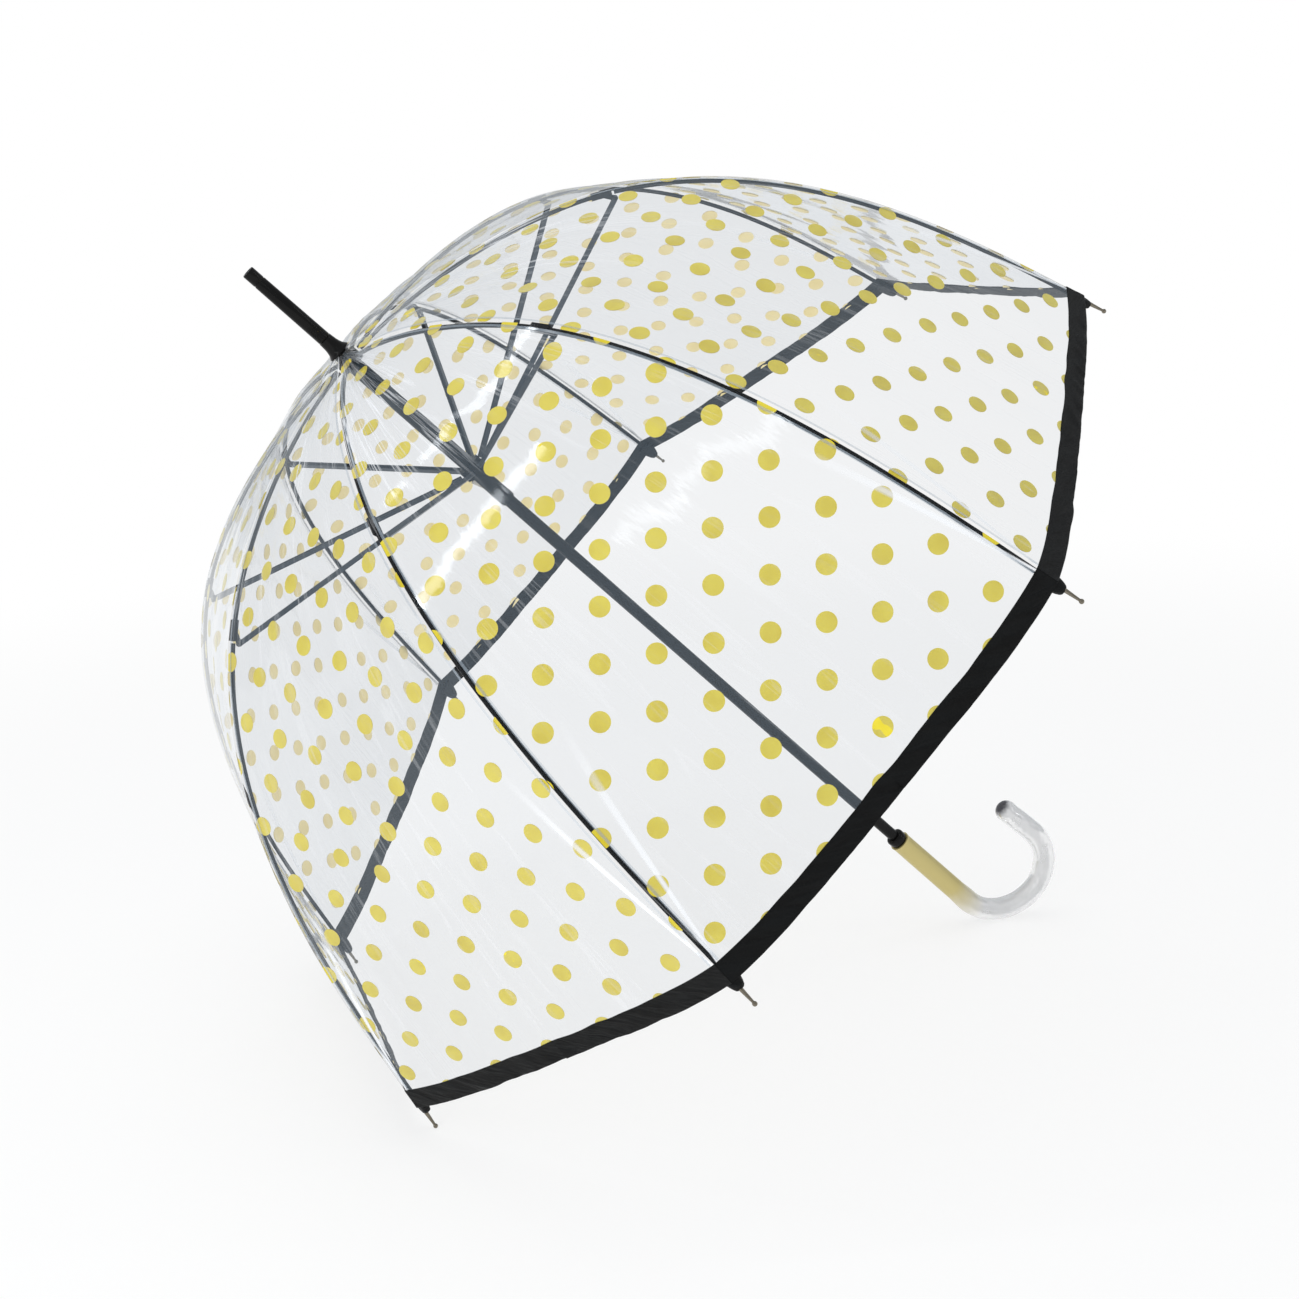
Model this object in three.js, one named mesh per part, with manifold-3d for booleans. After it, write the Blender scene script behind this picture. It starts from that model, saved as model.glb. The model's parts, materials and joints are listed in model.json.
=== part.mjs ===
// A clear bubble umbrella with eight ribs, standing open on the floor as it is left to dry:
// two rib tips and the bend of the crook carry it, and the ferrule points up and back.
// Every piece is first built upright, in millimetres: the shaft runs along Z, the ferrule is
// at the top and Z = 0 is the ring that the ribs hinge on. The whole group is then tilted.
import * as THREE from 'three';
import { mergeVertices } from 'three/addons/utils/BufferGeometryUtils.js';
import Module from 'manifold-3d';

const wasm = await Module();
wasm.setup();

// ---- driving dimensions -------------------------------------------------------------
const RIB_COUNT = 8;
const RIB_STEP = 360 / RIB_COUNT;
const FIRST_RIB = RIB_STEP / 2;
const HINGE_RADIUS = 8;
const PIVOT_RADIUS = 226.6;
const PIVOT_DROP = 55.1;
const PIVOT_OFFSET = 4.7;
const HEM_RADIUS = 420;
const HEM_DROP = 360;
const SLOPE_AT_HINGE = -4.2;
const SLOPE_AT_PIVOT = 32.2;
const SLOPE_AT_HEM = 71.5;
const HINGE_HANDLE = 70;
const KNEE_HANDLE_IN = 66;
const KNEE_HANDLE_OUT = 138;
const HEM_HANDLE = 104;
const TIP_REACH = 20.6;
const TIP_BALL_RADIUS = 1.75;
const RUNNER_DROP = 125.7;
const RUNNER_PIVOT_RADIUS = 12.3;
const SHAFT_RADIUS = 5;
const CUP_BASE = 9.4;
const FERRULE_BASE = 24.3;
const FERRULE_TOP = 97;
const COLLAR_TOP = -631.7;
const GRIP_TOP = -640;
const HOOK_TOP = -726;
const BEND_TOP = -735.3;
const BEND_RADIUS = 42.6;
const BEND_SWEEP = 183;
const CROOK_TAIL = 35;
const CROOK_RADIUS = 10;
const CROOK_ROLL = -9.2;
const FIT_GAP = 0.3;

// ---- materials ----------------------------------------------------------------------
const paint = (color, roughness, metalness) =>
  new THREE.MeshStandardMaterial({ color, roughness, metalness });
const blackSteel = paint(0x17191c, 0.35, 0.6);
const blackPlastic = paint(0x101113, 0.3, 0);
const brightSteel = paint(0xa9aaa8, 0.3, 1);
const goldGrip = paint(0xbcae70, 0.4, 0.6);
const clearAcrylic = paint(0xe4e5e6, 0.08, 0);
const clearFilm = paint(0xe9ebec, 0.1, 0);

// ---- small helpers ------------------------------------------------------------------
const rad = THREE.MathUtils.degToRad;
const umbrella = new THREE.Group();

function addPiece(name, geometry, material, azimuth = 0) {
  const mesh = new THREE.Mesh(geometry, material);
  mesh.name = name;
  mesh.rotation.z = rad(azimuth);
  umbrella.add(mesh);
  return mesh;
}

function toSolid(geometry) {
  const bare = geometry.clone();
  bare.deleteAttribute('normal');
  bare.deleteAttribute('uv');
  const merged = mergeVertices(bare, 1e-4);
  return new wasm.Manifold(new wasm.Mesh({
    numProp: 3,
    vertProperties: new Float32Array(merged.attributes.position.array),
    triVerts: new Uint32Array(merged.index.array),
  }));
}

function toGeometry(solid) {
  const mesh = solid.getMesh();
  const geometry = new THREE.BufferGeometry();
  geometry.setAttribute('position', new THREE.BufferAttribute(mesh.vertProperties, 3));
  geometry.setIndex(new THREE.BufferAttribute(mesh.triVerts, 1));
  return geometry;
}

const join = (...parts) => toGeometry(parts.map(toSolid).reduce((a, b) => a.add(b)));
const cut = (body, ...tools) =>
  toGeometry(tools.map(toSolid).reduce((a, b) => a.subtract(b), toSolid(body)));

// A solid of revolution about Z. Each profile point is [radius, z].
function turned(profile, segments = 24) {
  const points = profile.map(([radius, z]) => new THREE.Vector2(radius, z));
  return new THREE.LatheGeometry(points, segments).rotateX(Math.PI / 2);
}

// A ring turned from a closed profile, such as a tube or a bush.
const turnedRing = (profile, segments) => turned([...profile, profile[0]], segments);

// A plate cut from an outline in the plane of a rib (x is the radius, y is the height).
function plate(shape, thickness, curveSegments = 6) {
  const options = { depth: thickness, bevelEnabled: false, curveSegments };
  return new THREE.ExtrudeGeometry(shape, options)
    .translate(0, 0, -thickness / 2)
    .rotateX(Math.PI / 2);
}

function block(fromX, toX, width, fromZ, toZ) {
  return new THREE.BoxGeometry(toX - fromX, width, toZ - fromZ)
    .translate((fromX + toX) / 2, 0, (fromZ + toZ) / 2);
}

// A direction in the plane of a rib, given as degrees below the horizontal.
const along = (slope) => new THREE.Vector2(Math.cos(rad(slope)), -Math.sin(rad(slope)));
const outward = (direction) => new THREE.Vector2(-direction.y, direction.x);
const step = (from, direction, distance) => from.clone().addScaledVector(direction, distance);

// ---- the shape of a rib -------------------------------------------------------------
// The centre line of a rib is two curves that meet at the knee, above the stretcher's pivot.
const hinge = new THREE.Vector2(HINGE_RADIUS, 0);
const pivot = new THREE.Vector2(PIVOT_RADIUS, -PIVOT_DROP);
const hem = new THREE.Vector2(HEM_RADIUS, -HEM_DROP);
const knee = step(pivot, outward(along(SLOPE_AT_PIVOT)), PIVOT_OFFSET);
const upperCurve = new THREE.CubicBezierCurve(
  hinge,
  step(hinge, along(SLOPE_AT_HINGE), HINGE_HANDLE),
  step(knee, along(SLOPE_AT_PIVOT), -KNEE_HANDLE_IN),
  knee,
);
const lowerCurve = new THREE.CubicBezierCurve(
  knee,
  step(knee, along(SLOPE_AT_PIVOT), KNEE_HANDLE_OUT),
  step(hem, along(SLOPE_AT_HEM), -HEM_HANDLE),
  hem,
);

// Points beside a curve, from one length along it to another.
function besideCurve(curve, from, to, count, offset) {
  const length = curve.getLength();
  return Array.from({ length: count + 1 }, (_, i) => {
    const t = (from + ((to - from) * i) / count) / length;
    const direction = curve.getTangentAt(t);
    return step(curve.getPointAt(t), outward(direction), offset);
  });
}

// ---- shaft, ferrule and crown -------------------------------------------------------
const CATCH_LENGTH = 26;
const TOP_CATCH_STEP = -132.5;
const TOP_CATCH_ROOT = TOP_CATCH_STEP - CATCH_LENGTH;
const BOTTOM_CATCH_ROOT = -462;
const BOTTOM_CATCH_STEP = BOTTOM_CATCH_ROOT - CATCH_LENGTH;
const CATCH_SLOT = 2.6;
const CATCH_SLOT_MARGIN = 2;
const CATCH_SLOT_DEPTH = 8.6;
const CATCH_SIDE = 180;
const SHAFT_BOTTOM = -724;
const SHAFT_SHOULDER = 9;
const SPIGOT_RADIUS = 3.2;
const SPIGOT_TOP = 60;
const BORE = SHAFT_RADIUS + FIT_GAP;
const SPIGOT_BORE = SPIGOT_RADIUS + FIT_GAP;

function addShaft() {
  const pole = turned([
    [0, SPIGOT_TOP],
    [SPIGOT_RADIUS, SPIGOT_TOP],
    [SPIGOT_RADIUS, SHAFT_SHOULDER],
    [SHAFT_RADIUS, SHAFT_SHOULDER],
    [SHAFT_RADIUS, SHAFT_BOTTOM],
    [0, SHAFT_BOTTOM],
  ].reverse());
  const outside = -SHAFT_RADIUS - 1;
  const inside = CATCH_SLOT_DEPTH - SHAFT_RADIUS;
  const pocket = (low, high) =>
    block(outside, inside, CATCH_SLOT, low - CATCH_SLOT_MARGIN, high + CATCH_SLOT_MARGIN);
  const slotted = cut(
    pole,
    pocket(TOP_CATCH_ROOT, TOP_CATCH_STEP),
    pocket(BOTTOM_CATCH_STEP, BOTTOM_CATCH_ROOT),
  );
  addPiece('shaft', slotted, blackSteel);
}

const FERRULE_SIDES = 28;
const FERRULE_FOOT_RADIUS = 5.4;
const FERRULE_RADIUS = 5;
const FERRULE_EDGE = 0.5;
const GROOVE_DROP = 11;
const GROOVE_DEPTH = 0.3;
const CUP_RADIUS = 9.2;
const CUP_NECK_RADIUS = 5.6;

function addFerrule() {
  const groove = FERRULE_TOP - GROOVE_DROP;
  const bottom = FERRULE_RADIUS - GROOVE_DEPTH;
  addPiece('ferrule', turned([
    [0, SPIGOT_TOP + 2],
    [SPIGOT_BORE, SPIGOT_TOP + 2],
    [SPIGOT_BORE, FERRULE_BASE],
    [FERRULE_FOOT_RADIUS, FERRULE_BASE],
    [FERRULE_RADIUS + 0.05, groove - 2 * GROOVE_DEPTH],
    [bottom, groove - GROOVE_DEPTH],
    [bottom, groove + GROOVE_DEPTH],
    [FERRULE_RADIUS, groove + 2 * GROOVE_DEPTH],
    [FERRULE_RADIUS, FERRULE_TOP - FERRULE_EDGE],
    [FERRULE_RADIUS - FERRULE_EDGE, FERRULE_TOP],
    [0, FERRULE_TOP],
  ], FERRULE_SIDES), blackPlastic);
  addPiece('canopy_cup', turnedRing([
    [SPIGOT_BORE, CUP_BASE],
    [CUP_RADIUS, CUP_BASE],
    [CUP_RADIUS, CUP_BASE + 0.5],
    [7.3, CUP_BASE + 3.4],
    [6.1, CUP_BASE + 8.1],
    [CUP_NECK_RADIUS, FERRULE_BASE - FIT_GAP],
    [SPIGOT_BORE, FERRULE_BASE - FIT_GAP],
  ], FERRULE_SIDES), blackPlastic);
}

const RIB_EYE_THICKNESS = 2;
const WIRE_RADIUS = 0.5;
const NOTCH_TOP = 7.8;
const NOTCH_BOTTOM = -36;
const NOTCH_SLEEVE_RADIUS = 6.4;
const NOTCH_NECK_RADIUS = 6.6;
const FLANGE_RADIUS = 10;
const FLANGE_TOP = 4;
const FLANGE_BOTTOM = -5;
const EYE_SLOT_TOP = 2.4;
const WIRE_SIDES = 6;
const WIRE_SEGMENTS = 16;
const HUB_SIDES = 32;

function addCrown() {
  const body = turnedRing([
    [BORE, NOTCH_BOTTOM],
    [NOTCH_SLEEVE_RADIUS, NOTCH_BOTTOM],
    [NOTCH_SLEEVE_RADIUS, FLANGE_BOTTOM],
    [FLANGE_RADIUS, FLANGE_BOTTOM],
    [FLANGE_RADIUS, FLANGE_TOP],
    [NOTCH_NECK_RADIUS, FLANGE_TOP],
    [NOTCH_NECK_RADIUS, NOTCH_TOP],
    [BORE, NOTCH_TOP],
  ], HUB_SIDES);
  const ring = (radius) =>
    new THREE.TorusGeometry(HINGE_RADIUS, radius, WIRE_SIDES, WIRE_SEGMENTS)
      .rotateZ(Math.PI / WIRE_SEGMENTS)
      .rotateZ(rad(FIRST_RIB));
  const slotWidth = RIB_EYE_THICKNESS + 2 * FIT_GAP;
  const slots = ribAzimuths().map((azimuth) =>
    block(SHAFT_RADIUS, FLANGE_RADIUS + 1, slotWidth, FLANGE_BOTTOM - 1, EYE_SLOT_TOP)
      .rotateZ(rad(azimuth)));
  addPiece('crown_notch', cut(body, ring(WIRE_RADIUS + FIT_GAP), ...slots), blackPlastic);
  addPiece('crown_wire', ring(WIRE_RADIUS), brightSteel);
}

const ribAzimuths = () =>
  Array.from({ length: RIB_COUNT }, (_, i) => FIRST_RIB + i * RIB_STEP);

// ---- runner, its stop and the two spring catches ------------------------------------
const HUB_RADIUS = 9.9;
const HUB_HALF_HEIGHT = 5;
const RUNNER_TOP = -RUNNER_DROP + HUB_HALF_HEIGHT;
const RUNNER_BOTTOM = -RUNNER_DROP - 38;
const RUNNER_SLEEVE_RADIUS = 6.3;
const CHEEK_SLOT = 2.4;
const CHEEK_SLOT_INNER = 7.4;
const STOP_TUBE_RADIUS = 6.1;

function addRunner() {
  const stopTop = NOTCH_BOTTOM - 0.4;
  const stopBottom = RUNNER_TOP + 2 * FIT_GAP;
  addPiece('stop_tube', turnedRing([
    [BORE, stopBottom],
    [STOP_TUBE_RADIUS, stopBottom],
    [STOP_TUBE_RADIUS, stopTop],
    [BORE, stopTop],
  ]), blackPlastic);
  const hubBottom = -RUNNER_DROP - HUB_HALF_HEIGHT;
  const body = turnedRing([
    [BORE, RUNNER_BOTTOM],
    [RUNNER_SLEEVE_RADIUS, RUNNER_BOTTOM],
    [RUNNER_SLEEVE_RADIUS, hubBottom],
    [HUB_RADIUS, hubBottom],
    [HUB_RADIUS, RUNNER_TOP],
    [BORE, RUNNER_TOP],
  ], HUB_SIDES);
  const outside = HUB_RADIUS + 2.1;
  const above = RUNNER_TOP + 1;
  const catchSlot = block(SHAFT_RADIUS - 1, outside, CATCH_SLOT, RUNNER_BOTTOM - 1, above)
    .rotateZ(rad(CATCH_SIDE));
  const cheekSlots = ribAzimuths().map((azimuth) =>
    block(CHEEK_SLOT_INNER, outside, CHEEK_SLOT, hubBottom - 1, above).rotateZ(rad(azimuth)));
  addPiece('runner', cut(body, catchSlot, ...cheekSlots), blackPlastic);
}

const WING_THICKNESS = 2;
const WING_ROOT_INNER = -1.2;
const WING_ROOT_OUTER = 1.8;
const WING_STEP_INNER = 2;
const WING_STEP_OUTER = 9.3;

// A flat spring wing: rooted inside the shaft, it rises to a square step that holds the runner.
function addCatch(name, root, stepAt) {
  const rise = Math.sign(stepAt - root);
  const wing = new THREE.Shape([
    new THREE.Vector2(WING_ROOT_INNER, root),
    new THREE.Vector2(WING_ROOT_OUTER, root - rise * 0.5),
    new THREE.Vector2(WING_STEP_OUTER, stepAt),
    new THREE.Vector2(WING_STEP_INNER, stepAt),
  ]);
  addPiece(name, plate(wing, WING_THICKNESS), brightSteel, CATCH_SIDE);
}

// ---- handle -------------------------------------------------------------------------
// The crook's centre line: a short straight, the bend, and a straight tail.
class CrookLine extends THREE.Curve {
  getPoint(t) {
    const straight = HOOK_TOP - BEND_TOP;
    const bend = BEND_RADIUS * rad(BEND_SWEEP);
    const s = t * (straight + bend + CROOK_TAIL);
    if (s < straight) {
      return new THREE.Vector3(0, 0, HOOK_TOP - s);
    }
    const turn = Math.min(s - straight, bend) / BEND_RADIUS;
    const tail = Math.max(s - straight - bend, 0);
    return new THREE.Vector3(
      BEND_RADIUS * (1 - Math.cos(turn)) + tail * Math.sin(turn),
      0,
      BEND_TOP - BEND_RADIUS * Math.sin(turn) - tail * Math.cos(turn),
    );
  }
}

const COLLAR_RADIUS = 8.2;
const COLLAR_EDGE = 1;
const GRIP_TOP_RADIUS = 9;
const GRIP_FOOT_RADIUS = 9.3;
const END_DOME_INSET = 0.5;

function addHandle() {
  addPiece('handle_collar', turnedRing([
    [BORE, GRIP_TOP + FIT_GAP],
    [COLLAR_RADIUS, GRIP_TOP + FIT_GAP],
    [COLLAR_RADIUS, COLLAR_TOP - 1.6 * COLLAR_EDGE],
    [COLLAR_RADIUS - COLLAR_EDGE, COLLAR_TOP],
    [BORE, COLLAR_TOP],
  ]), blackPlastic);
  addPiece('grip_sleeve', turnedRing([
    [BORE, HOOK_TOP + FIT_GAP],
    [GRIP_FOOT_RADIUS, HOOK_TOP + FIT_GAP],
    [GRIP_TOP_RADIUS, GRIP_TOP],
    [BORE, GRIP_TOP],
  ]), goldGrip);
  const line = new CrookLine();
  const section = new THREE.Shape().absarc(0, 0, CROOK_RADIUS, 0, 2 * Math.PI);
  const tube = new THREE.ExtrudeGeometry(section, {
    steps: 32,
    curveSegments: 8,
    extrudePath: line,
  });
  const end = line.getPoint(1);
  const dome = new THREE.SphereGeometry(CROOK_RADIUS - END_DOME_INSET, 16, 10)
    .translate(end.x, end.y, end.z);
  addPiece('handle_hook', join(tube, dome), clearAcrylic, CROOK_ROLL);
}

// ---- ribs, tips, connectors and stretchers ------------------------------------------
const RIB_DEPTH = 2.6;
const RIB_WIDTH = 3.2;
const RIB_STEPS = 14;
const RIB_START = 5.5;
const KNEE_GAP = 1.7;
const EYE_RADIUS = 1.7;
const EYE_BORE = 0.95;
const EYE_OPENING = 36;
const TONGUE_END = 17;
const TONGUE_BELOW = -0.4;
const TONGUE_ABOVE = 1.6;
const TIP_ROOT = 8;
const TIP_SPIGOT = 1.5;

// The bar of a rib: a strip of even depth along its curve.
function ribBar(curve, from, to) {
  const top = besideCurve(curve, from, to, RIB_STEPS, RIB_DEPTH / 2);
  const bottom = besideCurve(curve, from, to, RIB_STEPS, -RIB_DEPTH / 2);
  return plate(new THREE.Shape([...bottom, ...top.reverse()]), RIB_WIDTH);
}

function upperRib() {
  const bar = ribBar(upperCurve, RIB_START, upperCurve.getLength() - KNEE_GAP);
  const tongue = new THREE.Shape();
  tongue.absarc(HINGE_RADIUS, 0, EYE_RADIUS, rad(EYE_OPENING), rad(360 - EYE_OPENING));
  tongue.lineTo(TONGUE_END, TONGUE_BELOW);
  tongue.lineTo(TONGUE_END, TONGUE_ABOVE);
  tongue.closePath();
  tongue.holes.push(new THREE.Path().absarc(HINGE_RADIUS, 0, EYE_BORE, 0, 2 * Math.PI, true));
  return join(bar, plate(tongue, RIB_EYE_THICKNESS, 5));
}

function lowerRib() {
  const bar = ribBar(lowerCurve, 0, lowerCurve.getLength() - TIP_ROOT - FIT_GAP);
  const knuckle = new THREE.CylinderGeometry(RIB_DEPTH / 2, RIB_DEPTH / 2, RIB_WIDTH, 12)
    .translate(knee.x, 0, knee.y);
  const spigot = block(-TIP_ROOT - 3, -2, TIP_SPIGOT, -TIP_SPIGOT / 2, TIP_SPIGOT / 2)
    .rotateY(rad(SLOPE_AT_HEM))
    .translate(hem.x, 0, hem.y);
  return join(bar, knuckle, spigot);
}

const TIP_RADIUS = 2.1;
const TIP_BORE = 1.4;
const TIP_BORE_DEPTH = 7;
const TIP_BARREL = 9;
const TIP_TAPER_START = 12;
const TIP_NECK = 0.95;

// The metal tip: a socket over the rib's end, a slim taper and a ball.
function ribTip() {
  const ball = TIP_ROOT + TIP_REACH;
  return turned([
    [0, TIP_BORE_DEPTH],
    [TIP_BORE, TIP_BORE_DEPTH],
    [TIP_BORE, 0],
    [TIP_RADIUS, 0],
    [TIP_RADIUS, TIP_BARREL],
    [TIP_RADIUS - 0.4, TIP_TAPER_START],
    [TIP_NECK, ball - 1.6],
    [TIP_BALL_RADIUS - 0.2, ball - 0.8],
    [TIP_BALL_RADIUS, ball],
    [TIP_BALL_RADIUS - 0.5, ball + 1.2],
    [0, ball + 1.7],
  ].map(([radius, s]) => [radius, s - TIP_ROOT]), 12)
    .rotateY(rad(90 + SLOPE_AT_HEM))
    .translate(hem.x, 0, hem.y);
}

// The moulded connector: a sleeve round the rib, an ear under it and the stretcher's pin.
const SLEEVE_NEAR = 2;
const SLEEVE_FAR = 17;
const SLEEVE_WIDTH = 5;
const SLEEVE_HALF_DEPTH = 2.2;
const EAR_THICKNESS = 1.8;
const PIN_RADIUS = 1;

function connector() {
  const length = upperCurve.getLength();
  const middle = (length - (SLEEVE_NEAR + SLEEVE_FAR) / 2) / length;
  const centre = upperCurve.getPointAt(middle);
  const slope = -upperCurve.getTangentAt(middle).angle();
  const half = (SLEEVE_FAR - SLEEVE_NEAR) / 2;
  const place = (geometry) => geometry.rotateY(slope).translate(centre.x, 0, centre.y);
  const sleeve = place(
    block(-half, half, SLEEVE_WIDTH, -SLEEVE_HALF_DEPTH, SLEEVE_HALF_DEPTH),
  );
  const boreDepth = RIB_DEPTH / 2 + FIT_GAP;
  const bore = place(
    block(-half - 1, half + 1, RIB_WIDTH + 2 * FIT_GAP, -boreDepth, boreDepth),
  );
  const u = along(SLOPE_AT_PIVOT);
  const n = outward(u);
  const from = (du, dn) => step(step(knee, u, du), n, dn);
  const ear = new THREE.Shape([
    from(-9, -1.9),
    from(-7.5, -3.2),
    from(-1.7, -PIVOT_OFFSET - 1.3),
    from(0, -PIVOT_OFFSET - 2),
    from(1.6, -PIVOT_OFFSET - 1.2),
    from(2, -PIVOT_OFFSET),
    from(1.4, -PIVOT_OFFSET + 1.4),
    from(-2.2, -1.9),
  ]);
  const pin = new THREE.CylinderGeometry(PIN_RADIUS, PIN_RADIUS, SLEEVE_WIDTH, 10)
    .translate(pivot.x, 0, pivot.y);
  const bored = cut(sleeve, bore);
  return join(bored, plate(ear, EAR_THICKNESS), pin);
}

const runnerPivot = new THREE.Vector2(RUNNER_PIVOT_RADIUS, -RUNNER_DROP);
const STRETCHER_HEIGHT = 3.4;
const STRETCHER_WIDTH = 4;
const CHANNEL_WIDTH = 2.6;
const CHANNEL_FLOOR = 0.8;
const PIN_BORE = 1.35;

// A stretcher is a U-channel, open towards the rib, with the pin through its two cheeks.
function stretcher() {
  const reach = runnerPivot.clone().sub(pivot);
  const length = reach.length();
  const half = STRETCHER_HEIGHT / 2;
  const side = new THREE.Shape();
  side.absarc(0, 0, half, rad(90), rad(270));
  side.lineTo(length, -half);
  side.lineTo(length, half);
  side.closePath();
  side.holes.push(new THREE.Path().absarc(0, 0, PIN_BORE, 0, 2 * Math.PI, true));
  const bar = plate(side, STRETCHER_WIDTH, 5);
  const channel = block(-3, length + 1, CHANNEL_WIDTH, CHANNEL_FLOOR - half, half + 1);
  const clearance = block(-3, 5, CHANNEL_WIDTH, -half - 1, half + 1);
  return cut(bar, channel, clearance)
    .scale(-1, 1, 1)
    .scale(1, -1, 1)
    .rotateY(-Math.atan2(-reach.y, -reach.x))
    .translate(pivot.x, 0, pivot.y);
}

// ---- canopy -------------------------------------------------------------------------
// A gore is the film over one rib, out to the middle of the panel on each side. The panels
// are straight across, so the gore has a ridge over the rib and two straight edges.
const FILM_INNER = 3.4;
const FILM_OUTER = 4;
const LOWER_STATIONS = 12;
const UPPER_STATIONS = 9;
const FILM_UNDER_CUP = [[7.5, 7.7], [15, 6.1], [24, 5.1]];
const FILM_MEETS_RIB = 32;

function filmProfile(offset) {
  const rise = offset - FILM_INNER;
  const start = FILM_UNDER_CUP.map(([radius, z]) => new THREE.Vector2(radius, z + rise));
  const end = upperCurve.getLength();
  const upper = besideCurve(upperCurve, FILM_MEETS_RIB, end, UPPER_STATIONS, offset);
  const lower = besideCurve(lowerCurve, 0, lowerCurve.getLength(), LOWER_STATIONS, offset);
  return [...start, ...upper, ...lower.slice(1)];
}

function gore() {
  const half = rad(RIB_STEP / 2);
  const vertices = [];
  for (const profile of [filmProfile(FILM_INNER), filmProfile(FILM_OUTER)]) {
    for (const { x: radius, y: height } of profile) {
      const width = radius * Math.sin(half);
      const reach = width - FIT_GAP / 2;
      for (const side of [-1, 0, 1]) {
        const across = Math.abs(side) * reach;
        vertices.push(radius - across * Math.sin(half), side * across * Math.cos(half), height);
      }
    }
  }
  const columns = 3;
  const stations = vertices.length / (2 * columns * 3);
  const at = (layer, station, side) => (layer * stations + station) * columns + side;
  const faces = [];
  const quad = (a, b, c, d) => faces.push(a, b, c, a, c, d);
  for (let i = 0; i + 1 < stations; i += 1) {
    for (const side of [0, 1]) {
      quad(at(0, i, side), at(0, i, side + 1), at(0, i + 1, side + 1), at(0, i + 1, side));
      quad(at(1, i, side), at(1, i + 1, side), at(1, i + 1, side + 1), at(1, i, side + 1));
    }
    quad(at(0, i, 0), at(0, i + 1, 0), at(1, i + 1, 0), at(1, i, 0));
    quad(at(0, i, 2), at(1, i, 2), at(1, i + 1, 2), at(0, i + 1, 2));
  }
  const last = stations - 1;
  for (const side of [0, 1]) {
    quad(at(0, 0, side), at(1, 0, side), at(1, 0, side + 1), at(0, 0, side + 1));
    quad(at(0, last, side), at(0, last, side + 1), at(1, last, side + 1), at(1, last, side));
  }
  const geometry = new THREE.BufferGeometry();
  geometry.setAttribute('position', new THREE.Float32BufferAttribute(vertices, 3));
  geometry.setIndex(faces);
  return geometry;
}

// ---- assembly -----------------------------------------------------------------------
addShaft();
addFerrule();
addCrown();
addRunner();
addCatch('top_catch', TOP_CATCH_ROOT, TOP_CATCH_STEP);
addCatch('bottom_catch', BOTTOM_CATCH_ROOT, BOTTOM_CATCH_STEP);
addHandle();
ribAzimuths().forEach((azimuth, i) => {
  const number = i + 1;
  addPiece(`rib_upper_${number}`, upperRib(), blackSteel, azimuth);
  addPiece(`rib_lower_${number}`, lowerRib(), blackSteel, azimuth);
  addPiece(`rib_tip_${number}`, ribTip(), brightSteel, azimuth);
  addPiece(`connector_${number}`, connector(), blackPlastic, azimuth);
  addPiece(`stretcher_${number}`, stretcher(), blackSteel, azimuth);
  addPiece(`canopy_gore_${number}`, gore(), clearFilm, azimuth);
});

// ---- resting pose -------------------------------------------------------------------
// The floor touches the balls of the two lowest tips and the outside of the crook's bend.
// A tilt of `tilt` below the horizontal puts both at one height.
function heightDifference(tilt) {
  const up = new THREE.Vector2(Math.cos(tilt), Math.sin(tilt));
  const ball = step(hem, along(SLOPE_AT_HEM), TIP_REACH);
  const lowSide = -Math.cos(rad(RIB_STEP / 2)) * ball.x;
  const ballBottom = lowSide * up.x + ball.y * up.y - TIP_BALL_RADIUS;
  const roll = Math.cos(rad(CROOK_ROLL));
  const reach = BEND_RADIUS * Math.hypot(up.x * roll, up.y) + CROOK_RADIUS;
  const bendBottom = BEND_RADIUS * roll * up.x + BEND_TOP * up.y - reach;
  return ballBottom - bendBottom;
}

function restingTilt() {
  let low = rad(20);
  let high = rad(70);
  for (let i = 0; i < 50; i += 1) {
    const middle = (low + high) / 2;
    if (heightDifference(middle) * heightDifference(low) > 0) {
      low = middle;
    } else {
      high = middle;
    }
  }
  return low;
}

umbrella.rotation.y = restingTilt() - Math.PI / 2;
const object = new THREE.Group();
object.add(umbrella);
object.updateMatrixWorld(true);
const box = new THREE.Box3().setFromObject(object, true);
umbrella.position.set(-(box.min.x + box.max.x) / 2, -(box.min.y + box.max.y) / 2, -box.min.z);
object.updateMatrixWorld(true);

export default object;
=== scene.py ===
"""The looks of a clear bubble umbrella that stands open on two rib tips and its crook.

Every shape is built upright in millimetres, as in the design: the shaft runs along Z, the
ferrule is at the top and Z = 0 is the ring that the ribs hinge on. UPRIGHT then moves it
into the row frame, where the umbrella leans.
"""

import json
import math

import bpy
import numpy as np
from mathutils import Matrix, Vector, noise


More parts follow.
